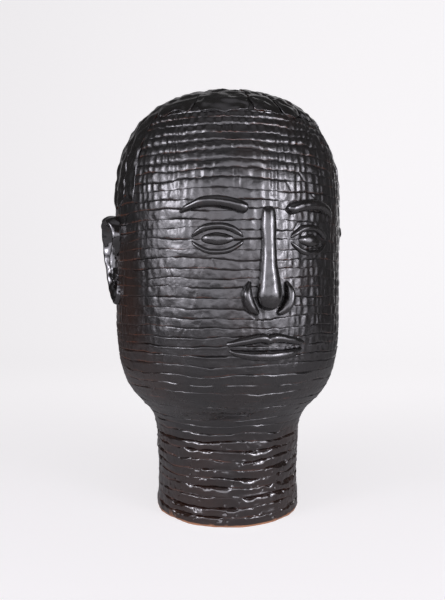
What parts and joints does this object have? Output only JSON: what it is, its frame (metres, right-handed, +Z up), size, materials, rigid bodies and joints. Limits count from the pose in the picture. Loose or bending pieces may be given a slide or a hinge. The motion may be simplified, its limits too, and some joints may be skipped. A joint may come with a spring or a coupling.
{
  "type": "face jug",
  "caption": "Tall hollow head vessel of stacked clay coils under black glaze, with hair straps, ears and a face in relief, standing on an open cylindrical neck.",
  "frame": {"origin": "middle of the neck's open foot, on the surface it stands on", "axes": "+Z up along the neck and head, -Y the way the face looks, +X the head's own left"},
  "size_m": [0.3704, 0.3519, 0.6016],
  "materials": {
    "black_glaze": "black satin-gloss stoneware glaze, brown where it breaks thin over edges",
    "hair_glaze": "black satin-gloss stoneware glaze over flat clay straps",
    "foot_clay": "black glaze wiped back to bare red-brown clay at the foot's edge"
  },
  "bodies": {
    "root": {"foot_coil": "foot_clay", "neck_coil_1": "black_glaze", "neck_coil_2": "black_glaze", "neck_coil_3": "black_glaze", "neck_coil_4": "black_glaze", "neck_coil_5": "black_glaze", "neck_coil_6": "black_glaze", "neck_coil_7": "black_glaze", "throat_coil_1": "black_glaze", "throat_coil_2": "black_glaze", "throat_coil_3": "black_glaze", "throat_coil_4": "black_glaze", "jaw_band_1": "black_glaze", "jaw_band_2": "black_glaze", "jaw_band_3": "black_glaze", "cheek_coil_1": "black_glaze", "cheek_coil_2": "black_glaze", "cheek_coil_3": "black_glaze", "cheek_coil_4": "black_glaze", "cheek_coil_5": "black_glaze", "cheek_coil_6": "black_glaze", "cheek_coil_7": "black_glaze", "cheek_coil_8": "black_glaze", "cheek_coil_9": "black_glaze", "cheek_coil_10": "black_glaze", "cheek_coil_11": "black_glaze", "cheek_coil_12": "black_glaze", "cheek_coil_13": "black_glaze", "cheek_coil_14": "black_glaze", "cheek_coil_15": "black_glaze", "cheek_coil_16": "black_glaze", "cheek_coil_17": "black_glaze", "forehead_coil_1": "black_glaze", "forehead_coil_2": "black_glaze", "forehead_coil_3": "black_glaze", "forehead_coil_4": "black_glaze", "forehead_coil_5": "black_glaze", "forehead_coil_6": "black_glaze", "forehead_coil_7": "black_glaze", "forehead_coil_8": "black_glaze", "forehead_coil_9": "black_glaze", "forehead_coil_10": "black_glaze", "forehead_coil_11": "black_glaze", "crown_cap": "black_glaze", "left_brow": "black_glaze", "right_brow": "black_glaze", "left_eye": "black_glaze", "right_eye": "black_glaze", "nose_ridge": "black_glaze", "left_nostril": "black_glaze", "right_nostril": "black_glaze", "upper_lip": "black_glaze", "lower_lip": "black_glaze", "left_ear": "black_glaze", "right_ear": "black_glaze", "crown_disc": "hair_glaze", "hair_fringe": "hair_glaze", "hair_left": "hair_glaze", "hair_right": "hair_glaze", "hair_back": "hair_glaze"}
  },
  "joints": []
}
